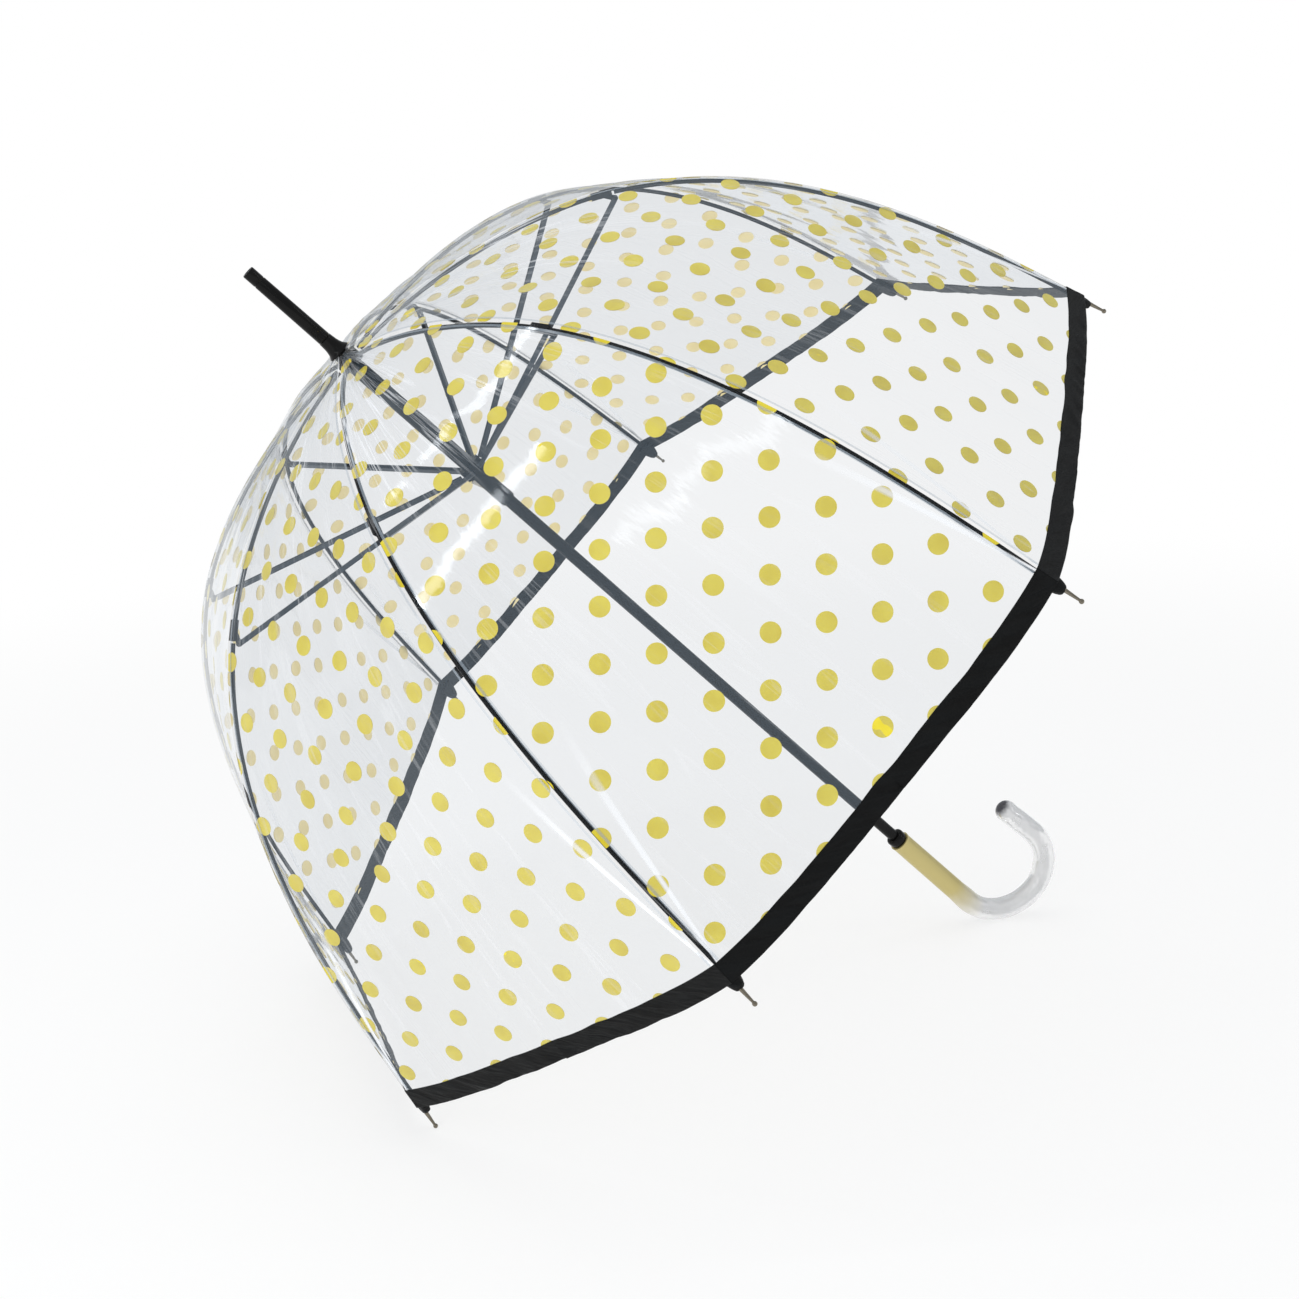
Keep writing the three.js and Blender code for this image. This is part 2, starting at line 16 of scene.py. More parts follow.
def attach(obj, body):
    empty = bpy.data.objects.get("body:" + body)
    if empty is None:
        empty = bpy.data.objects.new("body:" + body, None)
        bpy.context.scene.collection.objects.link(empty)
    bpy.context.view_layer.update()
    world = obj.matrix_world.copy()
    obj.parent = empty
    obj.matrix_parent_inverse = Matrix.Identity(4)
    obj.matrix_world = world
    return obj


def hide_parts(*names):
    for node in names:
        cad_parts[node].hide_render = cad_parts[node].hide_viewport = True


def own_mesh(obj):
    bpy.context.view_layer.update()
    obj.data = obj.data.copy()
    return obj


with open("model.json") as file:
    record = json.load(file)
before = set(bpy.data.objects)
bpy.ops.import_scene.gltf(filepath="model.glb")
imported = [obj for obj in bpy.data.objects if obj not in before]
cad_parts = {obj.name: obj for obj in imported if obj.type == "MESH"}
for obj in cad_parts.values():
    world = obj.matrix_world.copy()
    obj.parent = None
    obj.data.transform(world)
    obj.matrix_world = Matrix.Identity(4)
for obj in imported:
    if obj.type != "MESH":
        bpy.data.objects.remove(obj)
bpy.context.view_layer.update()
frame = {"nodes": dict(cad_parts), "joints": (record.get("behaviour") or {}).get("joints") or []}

# ---- driving dimensions, in millimetres and degrees -----------------------------------
# the ribs: (radius, z) of the pivot and the hem, and the slopes and handles of the curve
RIB_COUNT = 8
RIB_STEP = 360 / RIB_COUNT
FIRST_RIB = RIB_STEP / 2
HINGE_RADIUS = 8
PIVOT = (226.6, -55.1)
PIVOT_OFFSET = 4.7
HEM = (420, -360)
SLOPE_AT_HINGE = -4.2
SLOPE_AT_PIVOT = 32.2
SLOPE_AT_HEM = 71.5
HINGE_HANDLE = 70
KNEE_HANDLE_IN = 66
KNEE_HANDLE_OUT = 138
HEM_HANDLE = 104
RIB_START = 5.5
TIP_ROOT = 8
TIP_REACH = 20.6
# the canopy: how the film stands off the ribs, its hem band and how far the hem bows
FILM_LIFT = 3.2
CROWN_LIFT = 5.3
CROWN_RUN = 34
BAND_WIDTH = 16
BAND_HALF = 0.5
FILM_IN_BAND = 4
HEM_OVERHANG = 7
HEM_BOW_SHARPNESS = 4
# the printed dots, measured from the hem and the panel's middle
DOT_RADIUS = 6.9
DOT_COLUMN = 55.1
DOT_ROW = 23.05
DOT_FIRST_ROW = 5.2
DOT_SHIFT = -20.6
INK_LIFT = -0.2
INK_BACK_LIFT = -0.45
# the welded seam's two edges, inward from the rib
SEAM_NEAR = 2.6
SEAM_FAR = 4.6
# the shaft, the ferrule above the canopy and the crook below it
SHAFT_RADIUS = 5
CUP_BASE = 9.4
FERRULE_BASE = 24.3
FERRULE_TOP = 97
COLLAR_TOP = -631.7
GRIP_TOP = -640
BEND_TOP = -735.3
BEND_RADIUS = 42.6
BEND_SWEEP = 183
CROOK_TAIL = 35
CROOK_ROLL = -9.2
# what closes it
CLOSING = "runner_slide"

# ---- the design's own frame -----------------------------------------------------------
MM = 0.001
joints = {joint["name"]: joint for joint in frame["joints"]}
ribs = range(1, RIB_COUNT + 1)
crown = sum((Vector(joints[f"rib_fold_{k}"]["pos_m"]) for k in ribs), Vector()) / RIB_COUNT
shaft_up = -Vector(joints[CLOSING]["axis"]).normalized()
across_row = Vector((0, 1, 0))
UPRIGHT = Matrix((across_row.cross(shaft_up), across_row, shaft_up)).transposed().to_4x4()
UPRIGHT = Matrix.Translation(crown) @ UPRIGHT @ Matrix.Scale(MM, 4)


def to_row(point):
    """A point of the upright design, in millimetres, as a point of the row frame."""
    return UPRIGHT @ Vector(point)


def turn_to_row(direction):
    """A direction of the upright design as a unit direction of the row frame."""
    return (UPRIGHT.to_3x3() @ Vector(direction)).normalized()


def rib_azimuth(k):
    return math.radians(FIRST_RIB + (k - 1) * RIB_STEP)


def radial(azimuth):
    return Vector((math.cos(azimuth), math.sin(azimuth), 0))


def tangential(azimuth):
    return Vector((-math.sin(azimuth), math.cos(azimuth), 0))


# ---- materials ------------------------------------------------------------------------
class Shader:
    """A node tree under construction: add() makes a node and sets its inputs by name."""

    def __init__(self, name):
        self.material = bpy.data.materials.new(name)
        self.material.use_nodes = True
        self.tree = self.material.node_tree
        self.tree.nodes.clear()
        self.output = self.tree.nodes.new("ShaderNodeOutputMaterial")

    def add(self, kind, settings=None, **inputs):
        node = self.tree.nodes.new("ShaderNode" + kind)
        for key, value in (settings or {}).items():
            setattr(node, key, value)
        for key, value in inputs.items():
            index = int(key[1:]) if key[0] == "_" else key.replace("_", " ")
            self.set(node.inputs[index], value)
        return node

    def set(self, socket, value):
        if isinstance(value, bpy.types.Node):
            value = value.outputs[0]
        if isinstance(value, bpy.types.NodeSocket):
            self.tree.links.new(value, socket)
        else:
            socket.default_value = value

    def math(self, operation, first, second=0.0, third=0.0):
        return self.add("Math", {"operation": operation}, _0=first, _1=second, _2=third)

    def ramp(self, factor, stops):
        node = self.add("ValToRGB", _0=factor)
        elements = node.color_ramp.elements
        while len(elements) < len(stops):
            elements.new(0.5)
        for element, (position, colour) in zip(elements, stops):
            element.position = position
            element.color = colour
        return node

    def noise(self, vector, scale, detail=3.0, roughness=0.5, distortion=0.0):
        return self.add("TexNoise", Vector=vector, Scale=scale, Detail=detail,
                        Roughness=roughness, Distortion=distortion)

    def stretched(self, vector, scale):
        return self.add("Mapping", Vector=vector, Scale=scale)

    def bump(self, height, strength, distance):
        return self.add("Bump", Height=height, Strength=strength, Distance=distance)

    def finish(self, shader):
        self.tree.links.new(shader.outputs[0], self.output.inputs["Surface"])
        return self.material


def rgb(red, green, blue):
    return (red, green, blue, 1.0)


def grey(value):
    return rgb(value, value, value)


# a corner's crease, painted as a white highlight line: its slant and spread of slants, and its
# width, in metres as it climbs
CREASE_SLANT = 0.085
CREASE_SLANT_SPREAD = 0.09
CREASE_WANDER = 0.012
CREASE_ROOT_WIDTH = 0.001
CREASE_SPREAD = 0.02
CREASE_FADES = (0.07, 0.2)
CORE_OF_CREASE = 0.2


def corner_crease_glint(s, place, from_rib, wander):
    """How much of a corner's tension crease is at a point of the film, from 0 to 1. The
    crease leaves the corner at a slant of its own in every panel and fades as it climbs.
    The film paints this mask as a white highlight line, a painted glint along the crease."""
    number = s.math("ROUND", place.outputs["X"])
    side = s.math("GREATER_THAN", s.math("SUBTRACT", place.outputs["X"], number), 0.0)
    chance = s.add("TexWhiteNoise", {"noise_dimensions": "1D"},
                   W=s.math("MULTIPLY_ADD", number, 2.0, side)).outputs["Value"]
    height = s.math("SUBTRACT", MM * RIB_END, place.outputs["Y"])
    slant = s.math("MULTIPLY_ADD", chance, CREASE_SLANT_SPREAD, CREASE_SLANT)
    bend = s.math("MULTIPLY", s.math("SUBTRACT", wander, 0.5), CREASE_WANDER)
    path = s.math("MULTIPLY", height, s.math("ADD", slant, bend))
    off = s.math("ABSOLUTE", s.math("SUBTRACT", from_rib, path))
    width = s.math("MULTIPLY_ADD", height, CREASE_SPREAD, CREASE_ROOT_WIDTH)
    core = s.add("MapRange", {"interpolation_type": "SMOOTHSTEP"},
                 Value=s.math("DIVIDE", off, width), From_Min=CORE_OF_CREASE, From_Max=1.0,
                 To_Min=1.0, To_Max=0.0)
    fade = s.add("MapRange", {"interpolation_type": "SMOOTHSTEP"}, Value=height,
                 From_Min=CREASE_FADES[0], From_Max=CREASE_FADES[1],
                 To_Min=1.0, To_Max=0.0)
    return s.math("MULTIPLY", core, fade)


# how each pattern in the film is stretched: across and down the sheet, or round the fan
LONG_CREASES = (30.0, 4.0, 1.0)
FINE_RIPPLE = (120.0, 22.0, 1.0)
CROWN_FAN = (9.0, 3.0, 3.0)


def film_material(name, haze, tint, gloss):
    """Clear film: see-through with a haze, a thin sheet's mirror at low angles, long
    soft creases, fine crease lines that fan out from the crown, and at each corner of the
    hem one crease that runs up beside the rib. Haze and mirror are tinted blue, a painted
    reflection of bluish skylight. The crease lines are painted white, painted highlights
    that stand in for glints along the creases."""
    s = Shader(name)
    sheet = s.add("UVMap", {"uv_map": "Sheet"})
    place = s.add("SeparateXYZ", Vector=sheet)
    fit = s.add("SeparateXYZ", Vector=s.add("UVMap", {"uv_map": "Fit"}))
    fan = s.add("CombineXYZ", X=fit.outputs["Y"], Y=place.outputs["Y"], Z=place.outputs["X"])
    creases = s.noise(s.stretched(sheet, LONG_CREASES), scale=1.0, detail=1.0,
                      roughness=0.45, distortion=0.4)
    shimmer = s.noise(s.stretched(sheet, FINE_RIPPLE), scale=1.0, detail=2.0,
                      roughness=0.5, distortion=0.3)
    gathers = s.noise(s.stretched(fan, CROWN_FAN), scale=1.0, detail=3.0,
                      roughness=0.7, distortion=0.2)
    near_crown = s.add("MapRange", {"interpolation_type": "SMOOTHSTEP"},
                       Value=place.outputs["Y"], From_Min=0.03, From_Max=0.26,
                       To_Min=1.5, To_Max=0.12)
    off_line = s.math("ABSOLUTE", s.math("SUBTRACT", gathers.outputs[0], 0.5))
    line = s.add("MapRange", Value=off_line, From_Min=0.004, From_Max=0.028, To_Min=1.0,
                 To_Max=0.0)
    broken = s.add("MapRange", Value=creases.outputs[0], From_Min=0.4, From_Max=0.58)
    # the fanned crease lines near the crown are painted highlights, white glints along the
    # gathers
    fanned_glints = s.math("MULTIPLY", s.math("MULTIPLY", line, near_crown), broken)
    corner = corner_crease_glint(s, place, fit.outputs["X"], creases.outputs[0])
    lines = s.math("MAXIMUM", fanned_glints, corner)
    relief = s.math("MULTIPLY_ADD", shimmer.outputs[0], 0.16, creases.outputs[0])
    pleats = s.math("MULTIPLY", gathers.outputs[0], s.math("MULTIPLY", near_crown, 0.45))
    bump = s.bump(s.math("ADD", relief, pleats), strength=0.5, distance=0.0016)
    facing = s.add("LayerWeight", Blend=0.5, Normal=bump).outputs["Facing"]
    edge = s.math("POWER", facing, 4.0)
    mirror = s.math("MULTIPLY_ADD", edge, 0.8, s.math("MULTIPLY_ADD", lines, 0.25, gloss))
    loose = s.add("MapRange", {"interpolation_type": "SMOOTHSTEP"}, Value=fit.outputs["X"],
                  From_Min=0.0018, From_Max=0.0045, To_Min=0.12, To_Max=1.0)
    # the blue in the mirror's colour here and in the haze below is a painted reflection of
    # bluish skylight
    sheen = s.add("BsdfPrincipled", Base_Color=rgb(0.9, 0.95, 1.0), Metallic=1.0,
                  Roughness=0.08, Normal=bump)
    clear = s.add("BsdfTransparent", Color=tint)
    milk = s.add("BsdfPrincipled", Base_Color=rgb(0.56, 0.78, 1.0), Roughness=0.4)
    # white: the painted highlight of the crease lines, a diffuse white standing in for glints of
    # light
    white = s.add("BsdfPrincipled", Base_Color=rgb(0.97, 0.98, 1.0), Roughness=0.25)
    hazy = s.add("MixShader", _0=s.math("MULTIPLY", loose, haze), _1=clear, _2=milk)
    body = s.add("MixShader", _0=s.math("MULTIPLY", lines, 0.8), _1=hazy, _2=white)
    return s.finish(s.add("MixShader", _0=s.math("MULTIPLY", loose, mirror), _1=body, _2=sheen))


def ink_material(name, dark, light):
    """Printed dots: a gold ink with fine metal flake, slightly uneven."""
    s = Shader(name)
    place = s.add("TexCoord").outputs["Object"]
    cloud = s.noise(place, scale=55.0, detail=3.0)
    flake = s.noise(place, scale=2600.0, detail=1.0)
    shade = s.math("MULTIPLY_ADD", flake.outputs[0], 0.35, cloud.outputs[0])
    colour = s.ramp(shade, [(0.45, dark), (0.85, light)])
    return s.finish(s.add("BsdfPrincipled", Base_Color=colour, Metallic=0.12, Roughness=0.42,
                          Specular_IOR_Level=0.25,
                          Normal=s.bump(flake.outputs[0], strength=0.25,
                                        distance=0.0002)))


def lacquer_material(name, dark, light, roughness, metallic=0.0):
    """Black paint or moulding: a soft cloud of roughness and a faint orange-peel relief."""
    s = Shader(name)
    place = s.add("TexCoord").outputs["Object"]
    peel = s.noise(place, scale=900.0, detail=2.0)
    cloud = s.noise(place, scale=30.0, detail=4.0)
    colour = s.ramp(cloud.outputs[0], [(0.3, dark), (0.75, light)])
    rough = s.math("MULTIPLY_ADD", cloud.outputs[0], 0.12, roughness - 0.06)
    return s.finish(s.add("BsdfPrincipled", Base_Color=colour, Metallic=metallic,
                          Roughness=rough, Specular_IOR_Level=0.15,
                          Normal=s.bump(peel.outputs[0], strength=0.05,
                                        distance=0.0001)))


def metal_material(name, colour, roughness):
    """Bright plated steel with fine drawing marks."""
    s = Shader(name)
    place = s.add("TexCoord").outputs["Object"]
    marks = s.noise(s.stretched(place, (1.0, 1.0, 9.0)), scale=420.0, detail=2.0)
    worn = rgb(*(0.75 * c for c in colour))
    tone = s.ramp(marks.outputs[0], [(0.3, worn), (0.7, rgb(*colour))])
    rough = s.math("MULTIPLY_ADD", marks.outputs[0], 0.2, roughness - 0.1)
    return s.finish(s.add("BsdfPrincipled", Base_Color=tone, Metallic=1.0, Roughness=rough,
                          Normal=s.bump(marks.outputs[0], strength=0.15,
                                        distance=0.0002)))


def ribbon_material():
    """Black satin tape: a tight diagonal weave, slanting puckers and a dull sheen. Its colour is
    darker in the troughs of the puckers and lighter on their ridges: painted shade and highlight
    along the folds.
    """
    s = Shader("hem_ribbon")
    sheet = s.add("UVMap", {"uv_map": "Sheet"})
    slanted = s.add("Mapping", Vector=sheet, Rotation=(0, 0, math.radians(32)))
    folds = s.noise(s.stretched(slanted, (30.0, 170.0, 1.0)), scale=1.0, detail=2.0,
                    roughness=0.5, distortion=0.5)
    turned = s.add("Mapping", Vector=sheet, Rotation=(0, 0, math.radians(38)))
    weave = s.add("TexWave", {"wave_type": "BANDS"}, Vector=turned, Scale=620.0,
                  Distortion=0.5, Detail=1.0)
    relief = s.math("MULTIPLY_ADD", weave.outputs["Fac"], 0.06, folds.outputs[0])
    # colour follows the puckers: painted shade in their troughs, painted highlight on their
    # ridges
    colour = s.ramp(folds.outputs[0], [(0.3, grey(0.0003)), (0.8, rgb(0.002, 0.003, 0.0035))])
    return s.finish(s.add("BsdfPrincipled", Base_Color=colour, Roughness=0.45,
                          Specular_IOR_Level=0.16, Sheen_Weight=0.01, Sheen_Roughness=0.4,
                          Normal=s.bump(relief, strength=0.8, distance=0.003)))


def crook_material(length_of_crook):
    """Clear acrylic with a gold coat that thins out to nothing where the bend begins. The
    acrylic is faintly milky, and its polished end is painted near-black, a painted
    reflection of the dark around it."""
    s = Shader("crook_acrylic")
    length = s.add("SeparateXYZ", Vector=s.add("UVMap", {"uv_map": "Sheet"})).outputs["Y"]
    place = s.add("TexCoord").outputs["Object"]
    cloud = s.noise(place, scale=90.0, detail=2.0)
    spread = s.math("MULTIPLY_ADD", cloud.outputs[0], 0.006, length)
    coat = s.ramp(spread, [(0.074, grey(1)), (0.09, grey(0.6)), (0.112, grey(0))])
    swirl = s.noise(s.stretched(place, (1.0, 1.0, 0.4)), scale=42.0, detail=2.0,
                    roughness=0.4, distortion=0.6)
    bump = s.bump(swirl.outputs[0], strength=0.5, distance=0.004)
    gold = s.add("BsdfPrincipled", Base_Color=rgb(0.56, 0.475, 0.2), Metallic=0.6,
                 Roughness=0.36,
                 Normal=s.bump(cloud.outputs[0], strength=0.1, distance=0.001))
    acrylic = s.add("BsdfPrincipled", Base_Color=rgb(0.88, 0.885, 0.89), Roughness=0.05,
                    IOR=1.49, Transmission_Weight=1.0, Normal=bump)
    milk = s.add("BsdfPrincipled", Base_Color=rgb(0.6, 0.603, 0.61), Roughness=0.08,
                 Specular_IOR_Level=0.8, Coat_Weight=0.6, Coat_Roughness=0.03, Normal=bump)
    veil = s.add("MapRange", Value=swirl.outputs[0], From_Min=0.32, From_Max=0.68,
                 To_Min=0.34, To_Max=0.56)
    body = s.add("MixShader", _0=veil, _1=acrylic, _2=milk)
    # the end's near-black is painted shade: it stands in for the dark that the polished end
    # reflects
    dark = s.add("BsdfPrincipled", Base_Color=rgb(0.05, 0.05, 0.06), Roughness=0.08)
    end = s.add("MapRange", {"interpolation_type": "SMOOTHSTEP"}, Value=spread,
                From_Min=length_of_crook + 0.006, From_Max=length_of_crook + 0.012)
    clear = s.add("MixShader", _0=end, _1=body, _2=dark)
    return s.finish(s.add("MixShader", _0=coat, _1=clear, _2=gold))


# ---- mesh helpers ---------------------------------------------------------------------
SMOOTH_ANGLE = math.radians(38)


def add_piece(name, body, slot, material, points, faces, uv=None, fit=None):
    """A mesh piece from upright points in millimetres. uv gives each point's place on its
    sheet and fit its distance from the rib, both in metres, for the UV maps Sheet and Fit."""
    mesh = bpy.data.meshes.new(name)
    mesh.from_pydata([to_row(p) for p in points], [], faces)
    for layer_name, values in (("Sheet", uv), ("Fit", fit)):
        if values is not None:
            layer = mesh.uv_layers.new(name=layer_name)
            for loop in mesh.loops:
                layer.data[loop.index].uv = values[loop.vertex_index]
    mesh.validate()
    mesh.shade_smooth()
    mesh.set_sharp_from_angle(angle=SMOOTH_ANGLE)
    mesh.materials.append(material)
    piece = bpy.data.objects.new(name, mesh)
    bpy.context.scene.collection.objects.link(piece)
    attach(piece, body)
    return piece


def grid_faces(rows, columns, wrap=False):
    """Quads over rows of points. With wrap, each row closes on itself."""
    faces = []
    for row in range(rows - 1):
        for column in range(columns if wrap else columns - 1):
            here = row * columns + column
            beside = row * columns + (column + 1) % columns
            faces.append((here, beside, beside + columns, here + columns))
    return faces


def turned(profile, segments=40, place=None):
    """Points and faces of a profile of (radius, z) turned about Z. Its ends are capped."""
    points = []
    for radius, z in profile:
        for i in range(segments):
            angle = 2 * math.pi * i / segments
            points.append(Vector((radius * math.cos(angle), radius * math.sin(angle), z)))
    faces = grid_faces(len(profile), segments, wrap=True)
    faces.append(tuple(reversed(range(segments))))
    faces.append(tuple(range(len(points) - segments, len(points))))
    if place is not None:
        points = [place @ p for p in points]
    return points, faces


def swept(stations, section):
    """Points and faces of a closed section carried along stations of (origin, x, y)."""
    points = [o + x * a + y * b for o, x, y in stations for a, b in section]
    faces = grid_faces(len(stations), len(section), wrap=True)
    faces.append(tuple(reversed(range(len(section)))))
    faces.append(tuple(range(len(points) - len(section), len(points))))
    return points, faces


def joined(*shapes):
    """Several (points, faces) as one."""
    points, faces = [], []
    for more_points, more_faces in shapes:
        start = len(points)
        points += more_points
        faces += [tuple(start + i for i in face) for face in more_faces]
    return points, faces


# ---- the shape of a rib and of the panel beside it ------------------------------------
def along(slope):
    """A direction in the plane of a rib, from degrees below the horizontal."""
    return np.array((math.cos(math.radians(slope)), -math.sin(math.radians(slope))))


def outward(direction):
    return np.array((-direction[1], direction[0]))


def curve_points(p0, p1, p2, p3, count):
    t = np.linspace(0, 1, count)[:, None]
    return ((1 - t) ** 3 * p0 + 3 * (1 - t) ** 2 * t * p1 + 3 * (1 - t) * t * t * p2
            + t ** 3 * p3)


class Profile:
    """A plane curve of (radius, z) points, read by length along it."""

    def __init__(self, points):
        self.points = np.asarray(points)
        steps = np.linalg.norm(np.diff(self.points, axis=0), axis=1)
        self.lengths = np.concatenate([[0.0], np.cumsum(steps)])
        self.length = self.lengths[-1]
        tangents = np.gradient(self.points, self.lengths, axis=0)
        self.tangents = tangents / np.linalg.norm(tangents, axis=1)[:, None]

    def read(self, values, length):
        return np.array([np.interp(length, self.lengths, values[:, i]) for i in (0, 1)])

    def at(self, length):
        return self.read(self.points, length)

    def tangent(self, length):
        direction = self.read(self.tangents, length)
        return direction / np.linalg.norm(direction)

    def normal(self, length):
        return outward(self.tangent(length))


FINE = 400
hinge = np.array((HINGE_RADIUS, 0.0))
hem = np.array(HEM, float)
knee = np.array(PIVOT) + outward(along(SLOPE_AT_PIVOT)) * PIVOT_OFFSET
upper_line = Profile(curve_points(
    hinge,
    hinge + along(SLOPE_AT_HINGE) * HINGE_HANDLE,
    knee - along(SLOPE_AT_PIVOT) * KNEE_HANDLE_IN,
    knee,
    FINE,
))
lower_line = Profile(curve_points(
    knee,
    knee + along(SLOPE_AT_PIVOT) * KNEE_HANDLE_OUT,
    hem - along(SLOPE_AT_HEM) * HEM_HANDLE,
    hem,
    FINE,
))
rib_line = Profile(np.vstack([upper_line.points, lower_line.points[1:]]))


def film_lift(length):
    """How far the film stands off a rib's centre line, more under the cup."""
    gather = np.clip(1 - length / CROWN_RUN, 0, 1)
    return FILM_LIFT + CROWN_LIFT * gather ** 2


lifts = film_lift(rib_line.lengths)[:, None]
normals = np.stack([-rib_line.tangents[:, 1], rib_line.tangents[:, 0]], axis=1)
seam_line = rib_line.points + normals * lifts
HALF_STEP = math.radians(RIB_STEP / 2)
mid_points = seam_line * np.array((math.cos(HALF_STEP), 1.0))
panel = Profile(mid_points)
KNEE_LENGTH = panel.lengths[FINE - 1]
RIB_END = panel.length
panel = Profile(np.vstack([mid_points, mid_points[-1] + panel.tangents[-1] * HEM_OVERHANG]))
FILM_END = panel.length
CROOK_LENGTH = GRIP_TOP - BEND_TOP + BEND_RADIUS * math.radians(BEND_SWEEP) + CROOK_TAIL


def half_width(length):
    """Half the width of a panel, which is flat across, at a length down its middle."""
    return panel.at(length)[0] * math.tan(HALF_STEP)


# ---- the materials in use -------------------------------------------------------------
FILM = film_material("clear_film", haze=0.045, tint=rgb(0.91, 0.906, 0.902), gloss=0.05)
SEAM = film_material("welded_seam", haze=0.1, tint=rgb(0.86, 0.855, 0.85), gloss=0.22)
INK = ink_material("dot_ink", rgb(0.69, 0.555, 0.02), rgb(0.8, 0.68, 0.055))
# the inside of the dots is the gold ink painted paler: painted haze light, not a paler print
INK_BACK = ink_material("dot_ink_back", rgb(0.88, 0.73, 0.33), rgb(0.96, 0.83, 0.44))
RIBBON = ribbon_material()
BLACK_STEEL = lacquer_material("black_steel", grey(0.003), grey(0.009),
                               roughness=0.24, metallic=0.05)
STRETCHER_STEEL = lacquer_material("stretcher_steel", rgb(0.03, 0.036, 0.045),
                                   rgb(0.06, 0.07, 0.085), roughness=0.34, metallic=0.4)
BLACK_PLASTIC = lacquer_material("black_plastic", grey(0.002), grey(0.006),
                                 roughness=0.15)
BRIGHT_STEEL = metal_material("bright_steel", (0.62, 0.6, 0.55), roughness=0.25)
TIP_METAL = metal_material("tip_metal", (0.24, 0.215, 0.17), roughness=0.3)
CROOK = crook_material(MM * CROOK_LENGTH)

# ---- the panel's surface --------------------------------------------------------------
# the film's unevenness: heights of each kind of wrinkle, and how long each one is
PULL_HEIGHT = 2.2
PULL_ACROSS, PULL_DOWN = 46, 260
CREASE_HEIGHT = 0.8
CREASE_ACROSS, CREASE_SKEW, CREASE_DOWN = 15, 90, 120
GATHER_HEIGHT = 1.6
GATHER_REACH = 70
GATHERS_IN_HALF = 9
HEM_HOLD_RUN = 60
HEM_HOLD_LEAST = 0.35


def ripple(number, across, length):
    """How far the film of a panel stands off its plane at a point, in millimetres."""
    width = half_width(length)
    share = across / width
    hold = (1 - share * share) * min(1.0, (FILM_END - length) / HEM_HOLD_RUN + HEM_HOLD_LEAST)
    seed = 11.7 * number
    pull = noise.noise(Vector((across / PULL_ACROSS, length / PULL_DOWN, seed)))
    crease = noise.noise(Vector((across / CREASE_ACROSS + length / CREASE_SKEW,
                                 length / CREASE_DOWN, seed + 3)))
    gather = math.exp(-length / GATHER_REACH) * noise.noise(
        Vector((share * GATHERS_IN_HALF, length / GATHER_REACH, seed + 7)))
    return hold * (PULL_HEIGHT * pull + CREASE_HEIGHT * crease + GATHER_HEIGHT * gather)


def panel_point(number, across, length, lift=0.0):
    """A point of panel `number`, across its middle line and down from the crown."""
    azimuth = math.radians(number * RIB_STEP)
    radius, height = panel.at(length)
    out_r, out_z = panel.normal(length)
    off = lift + ripple(number, across, length)
    middle = radial(azimuth) * (radius + out_r * off) + Vector((0, 0, height + out_z * off))
    return middle - tangential(azimuth) * across


# ---- halves of panels: what rides on one rib, on one side of it -----------------------
class Half:
    """The part of a panel beside one rib, above or below the knee. It rides on that rib."""

    def __init__(self, k, side, part):
        self.k = k
        self.side = side
        self.part = part
        self.number = (k - 1 if side < 0 else k) % RIB_COUNT
        self.sign = 1 if side > 0 else -1
        self.body = f"rib_{part}_{k}"
        self.tag = f"{part}_{k}_{'left' if side < 0 else 'right'}"
        upper = part == "upper"
        self.start = 0.0 if upper else KNEE_LENGTH
        self.end = KNEE_LENGTH if upper else RIB_END
        line = upper_line if upper else lower_line
        azimuth = rib_azimuth(k)
        first, last = line.points[0], line.points[-1]
        chord = radial(azimuth) * (last[0] - first[0]) + Vector((0, 0, last[1] - first[1]))
        mid_azimuth = math.radians(self.number * RIB_STEP)
        sweep = tangential(mid_azimuth) * side
        flat = sweep - sweep.project(chord)
        self.axis = turn_to_row(flat)
        centre = line.points.mean(axis=0)
        self.anchor = to_row(radial(azimuth) * centre[0] + Vector((0, 0, centre[1])))

    def across(self, share, length):
        """From a share, 0 at the rib and 1 at the panel's middle, to a place across."""
        return self.sign * (1 - share) * half_width(length)

    def end_at(self, share):
        """Where the half ends down its panel: the knee, or the hem, which bows out."""
        if self.part == "upper":
            return KNEE_LENGTH
        return RIB_END + HEM_OVERHANG * (1 - (1 - share) ** HEM_BOW_SHARPNESS)

    def film_end(self, share):
        """Where the film ends: at the knee, or a little way into the hem band."""
        inset = 0 if self.part == "upper" else BAND_WIDTH - FILM_IN_BAND
        return self.end_at(share) - inset

    def gather(self, piece):
        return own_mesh(piece)


def halves():
    return [Half(k, side, part)
            for part in ("upper", "lower") for k in ribs for side in (-1, 1)]


